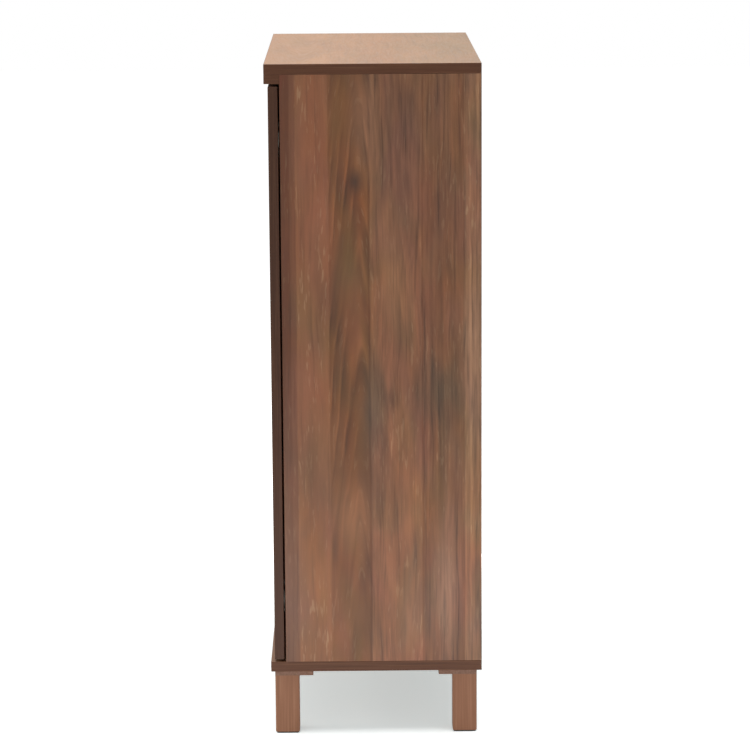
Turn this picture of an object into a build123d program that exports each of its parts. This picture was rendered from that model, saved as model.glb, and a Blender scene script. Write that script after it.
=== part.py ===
"""Two-door shoe cabinet on four square legs, in millimetres.

The carcass is flat-pack board: a top and a bottom panel over two sides, held by cam fittings and
wooden dowels, with a thin back in grooves, one fixed shelf and four shelves on pins. A strip under
the front of the top makes it look twice as thick. Two overlay doors hang on concealed cup hinges
between the strip and the bottom panel, and a magnetic catch under the fixed shelf holds them shut.

The origin is on the floor under the middle of the cabinet. X runs across the front, Y runs from the
front (-Y) to the back, and Z is up.
"""

import os

from build123d import *

# Overall sizes
WIDTH = 630.0
DEPTH = 330.0
BODY_HEIGHT = 950.0

# Carcass boards
BOARD = 16.0
BOARD_EDGE_RADIUS = 0.8
STRIP_DROP = 14.0
BACK_THICKNESS = 3.0
BACK_INSET = 10.0
GROOVE_DEPTH = 6.0
GROOVE_PLAY = 0.3

# Doors
DOOR_THICKNESS = 15.0
DOOR_EDGE_RADIUS = 1.5
DOOR_SETBACK = 6.0
DOOR_REAR_GAP = 2.5
DOOR_END_GAP = 4.0
DOOR_REVEAL = 0.5
DOOR_MEETING_GAP = 3.0
PULL_HEIGHT = 90.0
PULL_DEPTH = 14.0

# Shelves and their pins
SHELF_COUNT = 5
FIXED_SHELF = 3
SHELF_SETBACK = 6.0
SHELF_END_PLAY = 1.0
SHELF_REAR_PLAY = 1.5
PIN_RADIUS = 2.5
PIN_IN_SIDE = 8.0
PIN_OUT = 7.0
PIN_COLLAR_RADIUS = 3.6
PIN_COLLAR = 1.0
PIN_FRONT_INSET = 70.0
PIN_REAR_INSET = 45.0
PIN_PITCH = 32.0
PIN_STEPS = (-1, 0, 1)

# Legs
LEG_SIZE = 38.0
LEG_LENGTH = 92.0
LEG_EDGE_RADIUS = 3.0
LEG_FOOT_RADIUS = 1.5
LEG_PLATE = 60.0
LEG_PLATE_THICKNESS = 8.0
LEG_PLATE_RADIUS = 2.0
LEG_INSET_SIDE = 6.0
LEG_INSET_FRONT = 6.0
LEG_INSET_REAR = 7.5
GLIDE_SIZE = 35.0
GLIDE_THICKNESS = 2.0
GLIDE_RADIUS = 4.0

# Cam fittings and wooden dowels
CAM_RADIUS = 7.4
CAM_LENGTH = 12.2
CAM_DRILLING = 24.0
CAM_SLOT_LENGTH = 10.0
CAM_SLOT_WIDTH = 1.8
CAM_SLOT_DEPTH = 1.6
BOLT_THREAD_RADIUS = 3.0
BOLT_THREAD = 11.0
BOLT_SHANK_RADIUS = 2.5
BOLT_NECK_RADIUS = 1.8
BOLT_NECK = 3.0
BOLT_HEAD_RADIUS = 3.5
BOLT_HEAD = 3.5
DOWEL_RADIUS = 4.0
DOWEL_IN_PANEL = 11.0
DOWEL_IN_END = 18.0
DOWEL_IN_STRIP = 9.0
DOWEL_CHAMFER = 0.8
FITTING_INSET = 45.0
DOWEL_INSET = 80.0
STRIP_DOWELS = 4
STRIP_DOWEL_PITCH = 170.0
DRILL_PLAY = 0.1
DRILL_OVERDEPTH = 0.4

# Concealed cup hinges
HINGE_FROM_SHELF = 40.0
CUP_RADIUS = 17.5
CUP_DEPTH = 11.5
CUP_WALL = 0.8
CUP_FROM_EDGE = 3.0
FLANGE_THICKNESS = 1.0
FLANGE_WING_LENGTH = 56.0
FLANGE_WING_WIDTH = 13.0
FLANGE_WING_RADIUS = 5.0
CUP_SCREW_OFFSET = 9.5
CUP_SCREW_SPACING = 45.0
HINGE_PIN_FROM_EDGE = 7.2
HINGE_PIN_DEPTH = 8.0
HINGE_PIN_RADIUS = 1.2
HINGE_PIN_PLAY = 0.05
PIN_LUG_WIDTH = 2.0
PIN_LUG_REACH = 2.6
NECK_WIDTH = 8.0
NECK_THICKNESS = 2.6
NECK_EYE_RADIUS = 2.4
NECK_LUG_PLAY = 0.8
NECK_BEND_RADIUS = 1.5
ARM_WIDTH = 17.0
ARM_WALL = 1.5
ARM_WEB = 2.0
ARM_TAPER_START = 1.0
ARM_TAPER_END = 9.0
ARM_END = 60.0
ARM_PLATE_PLAY = 0.3
PLATE_BASE = 1.8
PLATE_BOSS_HEIGHT = 3.0
PLATE_BOSS_WIDTH = 13.0
PLATE_START = 15.0
PLATE_SCREW_LINE = 37.0
PLATE_SCREW_SPACING = 32.0
PLATE_WING_WIDTH = 15.0
PLATE_WING_LENGTH = 47.0
ADJUSTER_INSET = 24.0
FIXING_INSET = 50.0

# Screws
WOOD_SCREW_RADIUS = 1.7
WOOD_SCREW_HEAD_RADIUS = 3.4
WOOD_SCREW_HEAD = 1.8
WOOD_SCREW_LENGTH = 13.0
PLATE_SCREW_LENGTH = 20.0
LEG_SCREW_LENGTH = 40.0
LEG_SCREW_PITCH = 18.0
MACHINE_SCREW_RADIUS = 2.5
MACHINE_SCREW_HEAD_RADIUS = 3.9
MACHINE_SCREW_HEAD = 2.0

# Magnetic catch
CATCH_WIDTH = 46.0
CATCH_HEIGHT = 13.0
CATCH_DEPTH = 30.0
CATCH_RADIUS = 2.0
CATCH_EAR_THICKNESS = 3.0
CATCH_EAR_WIDTH = 9.0
CATCH_EAR_DEPTH = 12.0
MAGNET_WIDTH = 16.0
MAGNET_HEIGHT = 7.0
MAGNET_DEPTH = 12.0
MAGNET_PROUD = 0.6
MAGNET_PLAY = 0.1
STRIKE_WIDTH = 20.0
STRIKE_HEIGHT = 14.0
STRIKE_THICKNESS = 1.2
STRIKE_GAP = 0.3
STRIKE_RADIUS = 2.0
STRIKE_EDGE_INSET = 2.0

# Levels, from the floor up
LEG_TOP = GLIDE_THICKNESS + LEG_LENGTH
BODY_BASE = LEG_TOP + LEG_PLATE_THICKNESS
FLOOR_TOP = BODY_BASE + BOARD
TOP_FACE = BODY_BASE + BODY_HEIGHT
CEILING = TOP_FACE - BOARD
STRIP_BASE = CEILING - STRIP_DROP
DOOR_BASE = FLOOR_TOP + DOOR_END_GAP
DOOR_TOP = STRIP_BASE - DOOR_END_GAP
BAY_HEIGHT = (CEILING - FLOOR_TOP - SHELF_COUNT * BOARD) / (SHELF_COUNT + 1)
SHELF_BASES = [FLOOR_TOP + n * (BAY_HEIGHT + BOARD) - BOARD for n in range(1, SHELF_COUNT + 1)]
FIXED_SHELF_BASE = SHELF_BASES[FIXED_SHELF - 1]
PULL_LEVEL = FIXED_SHELF_BASE + BOARD + BAY_HEIGHT / 2
HINGE_LEVELS = {"lower": SHELF_BASES[0] - HINGE_FROM_SHELF,
                "upper": SHELF_BASES[-1] + BOARD + HINGE_FROM_SHELF}

# Planes across the width and from front to back
HALF_WIDTH = WIDTH / 2
INNER_HALF = HALF_WIDTH - BOARD
FRONT = -DEPTH / 2
REAR = DEPTH / 2
DOOR_FRONT = FRONT + DOOR_SETBACK
DOOR_REAR = DOOR_FRONT + DOOR_THICKNESS
SIDE_FRONT = DOOR_REAR + DOOR_REAR_GAP
BACK_REAR = REAR - BACK_INSET
BACK_FRONT = BACK_REAR - BACK_THICKNESS
FITTING_LINES = (SIDE_FRONT + FITTING_INSET, BACK_FRONT - FITTING_INSET)
DOWEL_LINES = (SIDE_FRONT + DOWEL_INSET, BACK_FRONT - DOWEL_INSET)
PIN_LINES = (SIDE_FRONT + PIN_FRONT_INSET, BACK_FRONT - PIN_REAR_INSET)
SIDE_MIDDLES = (-HALF_WIDTH + BOARD / 2, HALF_WIDTH - BOARD / 2)

# Directions
UP = (0, 0, 1)
DOWN = (0, 0, -1)
LEFT = (-1, 0, 0)
RIGHT = (1, 0, 0)
FROM_BASE = (Align.CENTER, Align.CENTER, Align.MIN)


def block(x, y, z):
    """A box between two limits on each axis."""
    spans = [(low + high) / 2 for low, high in (x, y, z)]
    return Pos(*spans) * Box(x[1] - x[0], y[1] - y[0], z[1] - z[0])


def rod(start, direction, length, radius):
    """A round bar, or the drill that makes its hole, from a point along a direction."""
    return Plane(origin=start, z_dir=direction) * Cylinder(radius, length, align=FROM_BASE)


def drilled(start, direction, length, radius):
    """A hole for a rod: a little wider and deeper than the rod."""
    return rod(start, direction, length + DRILL_OVERDEPTH, radius + DRILL_PLAY)


def toward(x):
    """Direction from a side panel at this X to the middle of the cabinet."""
    return RIGHT if x < 0 else LEFT


def save(name, *shapes):
    """Writes one node, which may be several separate solids."""
    solids = [solid for shape in shapes for solid in shape.solids()]
    export_step(solids[0] if len(solids) == 1 else Compound(children=solids), f"parts/{name}.step")


def mirrored(shape):
    """The same piece on the other side of the cabinet."""
    return mirror(shape, about=Plane.YZ)


# Where the fittings sit


def end_fittings():
    """(X, Y, joint level, way into the panel) of each cam between a side and the top or bottom."""
    joints = ((CEILING, UP), (FLOOR_TOP, DOWN))
    return [(x, y, level, way) for x in SIDE_MIDDLES for y in FITTING_LINES for level, way in joints]


def end_dowels():
    """(X, Y, joint level, way into the panel) of each dowel between a side and the top or bottom."""
    joints = ((CEILING, UP), (FLOOR_TOP, DOWN))
    return [(x, y, level, way) for x in SIDE_MIDDLES for y in DOWEL_LINES for level, way in joints]


def shelf_joints(lines):
    """(X of the side's inner face, Y) of each fitting between the fixed shelf and a side."""
    return [(x, y) for x in (-INNER_HALF, INNER_HALF) for y in lines]


def strip_dowel_places():
    """X of each dowel between the front strip and the top."""
    middle = (STRIP_DOWELS - 1) / 2
    return [(n - middle) * STRIP_DOWEL_PITCH for n in range(STRIP_DOWELS)]


def opposite(way):
    """The reverse of a direction."""
    return tuple(-part for part in way)


# Fittings


def cam_bolt():
    """A connecting bolt along Z: thread above the joint plane, shank, neck and head below it."""
    shank = CAM_DRILLING - BOLT_NECK / 2
    bolt = Cylinder(BOLT_THREAD_RADIUS, BOLT_THREAD, align=FROM_BASE)
    bolt += rod((0, 0, 0), DOWN, shank, BOLT_SHANK_RADIUS)
    bolt += rod((0, 0, -shank), DOWN, BOLT_NECK, BOLT_NECK_RADIUS)
    return bolt + rod((0, 0, -shank - BOLT_NECK), DOWN, BOLT_HEAD, BOLT_HEAD_RADIUS)


def cam_lock():
    """A cam disc along Z with its slotted face at the top, open on the +X side for the bolt's head."""
    cam = rod((0, 0, 0), DOWN, CAM_LENGTH, CAM_RADIUS)
    bolt_depth = BOARD / 2
    entry_radius = BOLT_HEAD_RADIUS + DRILL_PLAY
    inner_end = -BOLT_NECK / 2 - BOLT_HEAD - DRILL_OVERDEPTH
    cam -= rod((inner_end, 0, -bolt_depth), RIGHT, CAM_RADIUS - inner_end, entry_radius)
    slot = Box(CAM_SLOT_LENGTH, CAM_SLOT_WIDTH, 2 * CAM_SLOT_DEPTH)
    return cam - slot - Rot(0, 0, 90) * slot


def wood_dowel(length):
    """A wooden dowel along Z with bevelled ends."""
    dowel = Cylinder(DOWEL_RADIUS, length, align=FROM_BASE)
    return chamfer(dowel.edges().filter_by(GeomType.CIRCLE), DOWEL_CHAMFER)


def countersunk_screw(length):
    """A wood screw along -Z with its flat head at the origin."""
    head = Cone(WOOD_SCREW_RADIUS, WOOD_SCREW_HEAD_RADIUS, WOOD_SCREW_HEAD, align=FROM_BASE)
    return Pos(0, 0, -WOOD_SCREW_HEAD) * head + rod((0, 0, 0), DOWN, length, WOOD_SCREW_RADIUS)


def countersunk_hole(length):
    """The hole that a countersunk wood screw fills."""
    wide = WOOD_SCREW_HEAD_RADIUS + DRILL_PLAY
    narrow = WOOD_SCREW_RADIUS + DRILL_PLAY
    head = Cone(narrow, wide, WOOD_SCREW_HEAD, align=FROM_BASE)
    hole = Pos(0, 0, -WOOD_SCREW_HEAD) * head
    return hole + drilled((0, 0, 0), DOWN, length, WOOD_SCREW_RADIUS)


def cam_locks():
    """Every cam, with its slotted face on the inside of a side panel or the underside of the shelf."""
    cam = cam_lock()
    placed = []
    for x, y, level, way in end_fittings():
        inner_face = x + toward(x)[0] * BOARD / 2
        centre = (inner_face, y, level - way[2] * CAM_DRILLING)
        placed.append(Plane(origin=centre, x_dir=way, z_dir=toward(x)) * cam)
    for x, y in shelf_joints(FITTING_LINES):
        centre = (x + toward(x)[0] * CAM_DRILLING, y, FIXED_SHELF_BASE)
        placed.append(Plane(origin=centre, x_dir=opposite(toward(x)), z_dir=DOWN) * cam)
    return placed


def cam_bolts():
    """Every connecting bolt, threaded into the top, the bottom or a side."""
    bolt = cam_bolt()
    placed = [Plane(origin=(x, y, level), z_dir=way) * bolt for x, y, level, way in end_fittings()]
    middle = FIXED_SHELF_BASE + BOARD / 2
    for x, y in shelf_joints(FITTING_LINES):
        placed.append(Plane(origin=(x, y, middle), z_dir=opposite(toward(x))) * bolt)
    return placed


def wood_dowels():
    """Every wooden dowel between two boards."""
    long_dowel = Pos(0, 0, -DOWEL_IN_END) * wood_dowel(DOWEL_IN_END + DOWEL_IN_PANEL)
    placed = [Plane(origin=(x, y, level), z_dir=way) * long_dowel for x, y, level, way in end_dowels()]
    middle = FIXED_SHELF_BASE + BOARD / 2
    for x, y in shelf_joints(DOWEL_LINES):
        placed.append(Plane(origin=(x, y, middle), z_dir=opposite(toward(x))) * long_dowel)
    short_dowel = Pos(0, 0, -DOWEL_IN_STRIP) * wood_dowel(DOWEL_IN_STRIP + DOWEL_IN_PANEL)
    strip_line = (FRONT + SIDE_FRONT) / 2
    return placed + [Pos(x, strip_line, CEILING) * short_dowel for x in strip_dowel_places()]


# Boards


def rounded_board(x, y, z, edges):
    """A board whose banded edges have a small radius. edges picks them from the board's edge list."""
    board = block(x, y, z)
    return fillet(edges(board.edges()), BOARD_EDGE_RADIUS)


def end_panel_cuts(level, way):
    """Drillings and back groove that the top and the bottom panel have in common."""
    cuts = [drilled((x, y, level), way, BOLT_THREAD, BOLT_THREAD_RADIUS)
            for x, y, at, _ in end_fittings() if at == level]
    cuts += [drilled((x, y, level), way, DOWEL_IN_PANEL, DOWEL_RADIUS)
             for x, y, at, _ in end_dowels() if at == level]
    groove_end = level + way[2] * GROOVE_DEPTH
    reach = INNER_HALF + GROOVE_DEPTH
    cuts.append(block((-reach, reach), back_groove(), sorted((level, groove_end))))
    return cuts


def back_groove():
    """Front and rear limits of the groove that holds the back panel."""
    return (BACK_FRONT - GROOVE_PLAY, BACK_REAR + GROOVE_PLAY)


def top_panel():
    """Top board over both sides, banded all round."""
    x, y, z = (-HALF_WIDTH, HALF_WIDTH), (FRONT, REAR), (CEILING, TOP_FACE)
    panel = rounded_board(x, y, z, lambda edges: edges)
    strip_line = (FRONT + SIDE_FRONT) / 2
    strip_holes = [drilled((x, strip_line, CEILING), UP, DOWEL_IN_PANEL, DOWEL_RADIUS)
                   for x in strip_dowel_places()]
    return panel - end_panel_cuts(CEILING, UP) - strip_holes


def bottom_panel():
    """Bottom board under both sides, with pilot holes for the leg plates' screws."""
    x, y, z = (-HALF_WIDTH, HALF_WIDTH), (FRONT, REAR), (BODY_BASE, FLOOR_TOP)
    panel = rounded_board(x, y, z, lambda edges: edges)
    bite = PLATE_SCREW_LENGTH - LEG_PLATE_THICKNESS
    pilots = [drilled((x, y, BODY_BASE), UP, bite, WOOD_SCREW_RADIUS)
              for corner in leg_corners() for x, y in plate_screw_places(*corner)]
    return panel - end_panel_cuts(FLOOR_TOP, DOWN) - pilots


def top_front_strip():
    """Strip under the top's front edge, in front of the sides."""
    x, y, z = (-HALF_WIDTH, HALF_WIDTH), (FRONT, SIDE_FRONT), (STRIP_BASE, CEILING)
    strip = rounded_board(x, y, z, lambda edges: edges.filter_by(Axis.X).group_by(Axis.Z)[0])
    strip_line = (FRONT + SIDE_FRONT) / 2
    return strip - [drilled((x, strip_line, CEILING), DOWN, DOWEL_IN_STRIP, DOWEL_RADIUS)
                    for x in strip_dowel_places()]


def left_side_panel():
    """Side board between the top and the bottom, drilled for its fittings, shelf pins and hinges."""
    x, y, z = (-HALF_WIDTH, -INNER_HALF), (SIDE_FRONT, REAR), (FLOOR_TOP, CEILING)
    panel = rounded_board(x, y, z, lambda edges: edges.filter_by(Axis.Z))
    bolt_reach = CAM_DRILLING + BOLT_NECK / 2 + BOLT_HEAD
    cuts = []
    for x, y, level, way in end_fittings():
        cuts.append(drilled((x, y, level), opposite(way), bolt_reach, BOLT_HEAD_RADIUS))
        cam_centre = (-INNER_HALF, y, level - way[2] * CAM_DRILLING)
        cuts.append(drilled(cam_centre, LEFT, CAM_LENGTH, CAM_RADIUS))
    cuts += [drilled((x, y, level), opposite(way), DOWEL_IN_END, DOWEL_RADIUS)
             for x, y, level, way in end_dowels()]
    middle = FIXED_SHELF_BASE + BOARD / 2
    cuts += [drilled((-INNER_HALF, y, middle), LEFT, BOLT_THREAD, BOLT_THREAD_RADIUS)
             for y in FITTING_LINES]
    cuts += [drilled((-INNER_HALF, y, middle), LEFT, DOWEL_IN_PANEL, DOWEL_RADIUS)
             for y in DOWEL_LINES]
    cuts += [drilled((-INNER_HALF, y, level), LEFT, PIN_IN_SIDE, PIN_RADIUS)
             for y in PIN_LINES for level in pin_hole_levels()]
    bite = WOOD_SCREW_LENGTH - PLATE_BASE
    screw_line = SIDE_FRONT + PLATE_SCREW_LINE
    cuts += [drilled((-INNER_HALF, screw_line, level + end), LEFT, bite, WOOD_SCREW_RADIUS)
             for level in HINGE_LEVELS.values()
             for end in (-PLATE_SCREW_SPACING / 2, PLATE_SCREW_SPACING / 2)]
    cuts.append(block((-INNER_HALF - GROOVE_DEPTH, -INNER_HALF), back_groove(), (FLOOR_TOP, CEILING)))
    return panel - cuts


def back_panel():
    """Thin back that stands in the grooves of all four carcass boards."""
    reach = GROOVE_DEPTH - GROOVE_PLAY
    x = (-INNER_HALF - reach, INNER_HALF + reach)
    return block(x, (BACK_FRONT, BACK_REAR), (FLOOR_TOP - reach, CEILING + reach))


def fixed_shelf():
    """Middle shelf, fixed to both sides by cams in its underside, which also carries the catch."""
    x, y = (-INNER_HALF, INNER_HALF), (SIDE_FRONT, BACK_FRONT - GROOVE_PLAY)
    z = (FIXED_SHELF_BASE, FIXED_SHELF_BASE + BOARD)
    shelf = rounded_board(x, y, z, lambda edges: edges.filter_by(Axis.X).group_by(Axis.Y)[0])
    middle = FIXED_SHELF_BASE + BOARD / 2
    bolt_reach = CAM_DRILLING + BOLT_NECK / 2 + BOLT_HEAD
    cuts = []
    for x, y in shelf_joints(FITTING_LINES):
        cuts.append(drilled((x, y, middle), toward(x), bolt_reach, BOLT_HEAD_RADIUS))
        cam_centre = (x + toward(x)[0] * CAM_DRILLING, y, FIXED_SHELF_BASE)
        cuts.append(drilled(cam_centre, UP, CAM_LENGTH, CAM_RADIUS))
    cuts += [drilled((x, y, middle), toward(x), DOWEL_IN_END, DOWEL_RADIUS)
             for x, y in shelf_joints(DOWEL_LINES)]
    bite = WOOD_SCREW_LENGTH - CATCH_EAR_THICKNESS
    cuts += [drilled((x, y, FIXED_SHELF_BASE), UP, bite, WOOD_SCREW_RADIUS)
             for x, y in catch_screw_places()]
    return shelf - cuts


def loose_shelf_bases():
    """Undersides of the shelves that rest on pins."""
    return [base for n, base in enumerate(SHELF_BASES, start=1) if n != FIXED_SHELF]


def loose_shelf(base):
    """A shelf that lies on four pins."""
    reach = INNER_HALF - SHELF_END_PLAY
    x, y = (-reach, reach), (SIDE_FRONT + SHELF_SETBACK, BACK_FRONT - SHELF_REAR_PLAY)
    return rounded_board(x, y, (base, base + BOARD),
                         lambda edges: edges.filter_by(Axis.X).group_by(Axis.Y)[0])


def pin_hole_levels():
    """Heights of the pin holes: one under each loose shelf, and steps below and above it."""
    return [base - PIN_RADIUS + step * PIN_PITCH for base in loose_shelf_bases() for step in PIN_STEPS]


def shelf_pins():
    """Four pins under each loose shelf, with a collar against the side."""
    pin = rod((0, 0, 0), UP, PIN_OUT, PIN_RADIUS) + rod((0, 0, 0), DOWN, PIN_IN_SIDE, PIN_RADIUS)
    collar = rod((0, 0, 0), UP, PIN_COLLAR, PIN_COLLAR_RADIUS)
    reach = PIN_COLLAR_RADIUS
    clear_of_shelf = block((-reach, reach), (-reach, PIN_RADIUS), (0, PIN_COLLAR))
    pin += collar & clear_of_shelf
    along = {-INNER_HALF: (0, 1, 0), INNER_HALF: (0, -1, 0)}
    return [Plane(origin=(x, y, base - PIN_RADIUS), x_dir=along[x], z_dir=toward(x)) * pin
            for base in loose_shelf_bases() for x in along for y in PIN_LINES]


# Legs


def leg_corners():
    """(side, end) of each leg: -1 or 1 across the front, and -1 for the front or 1 for the rear."""
    return [(side, end) for end in (-1, 1) for side in (-1, 1)]


def leg_outer_corner(side, end):
    """Outer corner of a leg and its plate."""
    x = side * (HALF_WIDTH - LEG_INSET_SIDE)
    return x, FRONT + LEG_INSET_FRONT if end < 0 else REAR - LEG_INSET_REAR


def from_corner(side, end, across, along):
    """A point measured inwards from a leg's outer corner."""
    x, y = leg_outer_corner(side, end)
    return x - side * across, y - end * along


def square_bar(side, end, size, corner_inset, low, high, radius):
    """A square bar in a leg's corner, with rounded upright edges."""
    middle = corner_inset + size / 2
    x, y = from_corner(side, end, middle, middle)
    bar = block((x - size / 2, x + size / 2), (y - size / 2, y + size / 2), (low, high))
    return fillet(bar.edges().filter_by(Axis.Z), radius)


def plate_screw_places(side, end):
    """The three screws through a leg plate into the bottom panel, in the plate's free margins."""
    far = (LEG_SIZE + LEG_PLATE) / 2
    near = LEG_SIZE / 3
    insets = ((far, far), (far, near), (near, far))
    return [from_corner(side, end, across, along) for across, along in insets]


def leg_screw_places(side, end):
    """The two screws through a leg plate down into its leg."""
    middle = LEG_SIZE / 2
    half = LEG_SCREW_PITCH / 2
    return [from_corner(side, end, middle + shift, middle + shift) for shift in (-half, half)]


def leg(side, end):
    """Square leg with softened edges and pilot holes in its top."""
    bar = square_bar(side, end, LEG_SIZE, 0, GLIDE_THICKNESS, LEG_TOP, LEG_EDGE_RADIUS)
    bar = fillet(bar.faces().sort_by(Axis.Z)[0].edges(), LEG_FOOT_RADIUS)
    bite = LEG_SCREW_LENGTH - LEG_PLATE_THICKNESS
    return bar - [drilled((x, y, LEG_TOP), DOWN, bite, WOOD_SCREW_RADIUS)
                  for x, y in leg_screw_places(side, end)]


def leg_plate(side, end):
    """Mounting plate that carries a leg in its outer corner."""
    plate = square_bar(side, end, LEG_PLATE, 0, LEG_TOP, BODY_BASE, LEG_PLATE_RADIUS)
    from_below = Rot(180, 0, 0) * countersunk_hole(PLATE_SCREW_LENGTH)
    from_above = countersunk_hole(LEG_SCREW_LENGTH)
    cuts = [Pos(x, y, LEG_TOP) * from_below for x, y in plate_screw_places(side, end)]
    cuts += [Pos(x, y, BODY_BASE) * from_above for x, y in leg_screw_places(side, end)]
    return plate - cuts


def glide(side, end):
    """Thin pad under a leg."""
    inset = (LEG_SIZE - GLIDE_SIZE) / 2
    return square_bar(side, end, GLIDE_SIZE, inset, 0, GLIDE_THICKNESS, GLIDE_RADIUS)


def leg_plate_screws():
    """Screws that hold the leg plates to the bottom panel."""
    screw = Rot(180, 0, 0) * countersunk_screw(PLATE_SCREW_LENGTH)
    return [Pos(x, y, LEG_TOP) * screw
            for corner in leg_corners() for x, y in plate_screw_places(*corner)]


def leg_screws():
    """Screws that hold the legs to their plates."""
    screw = countersunk_screw(LEG_SCREW_LENGTH)
    return [Pos(x, y, BODY_BASE) * screw
            for corner in leg_corners() for x, y in leg_screw_places(*corner)]


# Concealed hinges, drawn in plan for the left door: X is the distance inwards from the side's outer
# face, Y the distance forwards from the side's front edge, and Z runs along the hinge pin.

CUP_CENTRE = DOOR_REVEAL + CUP_FROM_EDGE + CUP_RADIUS
CUP_BOTTOM = DOOR_REAR_GAP + CUP_DEPTH
PIN_ACROSS = DOOR_REVEAL + HINGE_PIN_FROM_EDGE
PIN_FORWARD = DOOR_REAR_GAP + HINGE_PIN_DEPTH
PLATE_FACE = BOARD + PLATE_BASE
BOSS_FACE = PLATE_FACE + PLATE_BOSS_HEIGHT
WEB_INNER = BOSS_FACE + ARM_PLATE_PLAY
WEB_OUTER = WEB_INNER + ARM_WEB
LUG_INNER = NECK_WIDTH / 2 + NECK_LUG_PLAY
FORWARD = (0, 1, 0)
CUP_SCREW_ACROSS = CUP_CENTRE + CUP_SCREW_OFFSET


def cup_screw_heights():
    """Heights of a cup's two screws from the middle of its hinge."""
    return (-CUP_SCREW_SPACING / 2, CUP_SCREW_SPACING / 2)


def hinge_cup():
    """Pressed cup with a winged flange on the door's rear face and two lugs inside for the pin."""
    cup = rod((CUP_CENTRE, DOOR_REAR_GAP, 0), FORWARD, CUP_DEPTH, CUP_RADIUS)
    flange_centre = (CUP_CENTRE, DOOR_REAR_GAP - FLANGE_THICKNESS, 0)
    flange_plane = Plane(origin=flange_centre, x_dir=RIGHT, z_dir=FORWARD)
    wings = RectangleRounded(FLANGE_WING_WIDTH, FLANGE_WING_LENGTH, FLANGE_WING_RADIUS)
    outline = Circle(CUP_RADIUS) + Pos(CUP_SCREW_OFFSET, 0) * wings
    cup += extrude(flange_plane * outline, FLANGE_THICKNESS, dir=FORWARD)
    hollow_depth = FLANGE_THICKNESS + CUP_DEPTH - CUP_WALL
    cup -= rod(flange_centre, FORWARD, hollow_depth, CUP_RADIUS - CUP_WALL)
    lug_across = (PIN_ACROSS - HINGE_PIN_FROM_EDGE, PIN_ACROSS + PIN_LUG_REACH)
    lug_depth = (PIN_FORWARD - PIN_LUG_REACH, CUP_BOTTOM)
    lug_outer = LUG_INNER + PIN_LUG_WIDTH
    lugs = [block(lug_across, lug_depth, z)
            for z in ((LUG_INNER, lug_outer), (-lug_outer, -LUG_INNER))]
    inside = rod((CUP_CENTRE, DOOR_REAR_GAP, 0), FORWARD, CUP_DEPTH, CUP_RADIUS - CUP_WALL / 2)
    cup += [lug & inside for lug in lugs]
    cup -= rod((PIN_ACROSS, PIN_FORWARD, -hinge_pin_half()), UP, 2 * hinge_pin_half(), HINGE_PIN_RADIUS)
    return cup - [cup_screw(z, countersunk_hole(WOOD_SCREW_LENGTH)) for z in cup_screw_heights()]


def cup_screw(z, screw):
    """A screw, or its hole, through the cup's flange into the door."""
    origin = (CUP_SCREW_ACROSS, DOOR_REAR_GAP - FLANGE_THICKNESS, z)
    return Plane(origin=origin, z_dir=opposite(FORWARD)) * screw


def hinge_pin_half():
    """Half the length of the hinge pin, which ends flush with the lugs."""
    return LUG_INNER + PIN_LUG_WIDTH


def hinge_pin():
    """Pin through the cup's lugs and the arm's eye."""
    return rod((PIN_ACROSS, PIN_FORWARD, -hinge_pin_half()), UP, 2 * hinge_pin_half(), HINGE_PIN_RADIUS)


def hinge_arm():
    """Pressed arm: an eye on the pin, a neck that turns back round the side's edge, and a channel."""
    half = NECK_THICKNESS / 2
    neck_turn = WEB_OUTER - half
    corner_radius = NECK_BEND_RADIUS + NECK_THICKNESS
    neck_line = [(PIN_ACROSS, PIN_FORWARD + half), (WEB_OUTER, PIN_FORWARD + half),
                 (WEB_OUTER, -ARM_TAPER_END), (neck_turn - half, -ARM_TAPER_END),
                 (neck_turn - half, PIN_FORWARD - half), (PIN_ACROSS, PIN_FORWARD - half)]
    neck = make_face(Polyline(*neck_line, close=True))
    neck = fillet(neck.vertices().sort_by_distance((WEB_OUTER, PIN_FORWARD + half))[0], corner_radius)
    inner_corner = (neck_turn - half, PIN_FORWARD - half)
    neck = fillet(neck.vertices().sort_by_distance(inner_corner)[0], NECK_BEND_RADIUS)
    neck += Pos(PIN_ACROSS, PIN_FORWARD) * Circle(NECK_EYE_RADIUS)
    arm = extrude(neck, NECK_WIDTH / 2, both=True)
    web = [(ARM_TAPER_START, NECK_WIDTH / 2), (ARM_TAPER_START, -NECK_WIDTH / 2),
           (-ARM_TAPER_END, -ARM_WIDTH / 2), (-ARM_END, -ARM_WIDTH / 2),
           (-ARM_END, ARM_WIDTH / 2), (-ARM_TAPER_END, ARM_WIDTH / 2)]
    web_plane = Plane(origin=(WEB_INNER, 0, 0), x_dir=FORWARD, z_dir=RIGHT)
    arm += extrude(web_plane * make_face(Polyline(*web, close=True)), ARM_WEB, dir=RIGHT)
    cheek_low = PLATE_FACE + ARM_PLATE_PLAY
    for z in ((ARM_WIDTH / 2 - ARM_WALL, ARM_WIDTH / 2), (-ARM_WIDTH / 2, ARM_WALL - ARM_WIDTH / 2)):
        arm += block((cheek_low, WEB_OUTER), (-ARM_END, -ARM_TAPER_END), z)
    eye = HINGE_PIN_RADIUS + HINGE_PIN_PLAY
    arm -= rod((PIN_ACROSS, PIN_FORWARD, -NECK_WIDTH), UP, 2 * NECK_WIDTH, eye)
    return arm - [drilled((WEB_OUTER, -inset, 0), LEFT, ARM_WEB, MACHINE_SCREW_RADIUS)
                  for inset in (ADJUSTER_INSET, FIXING_INSET)]


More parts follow.
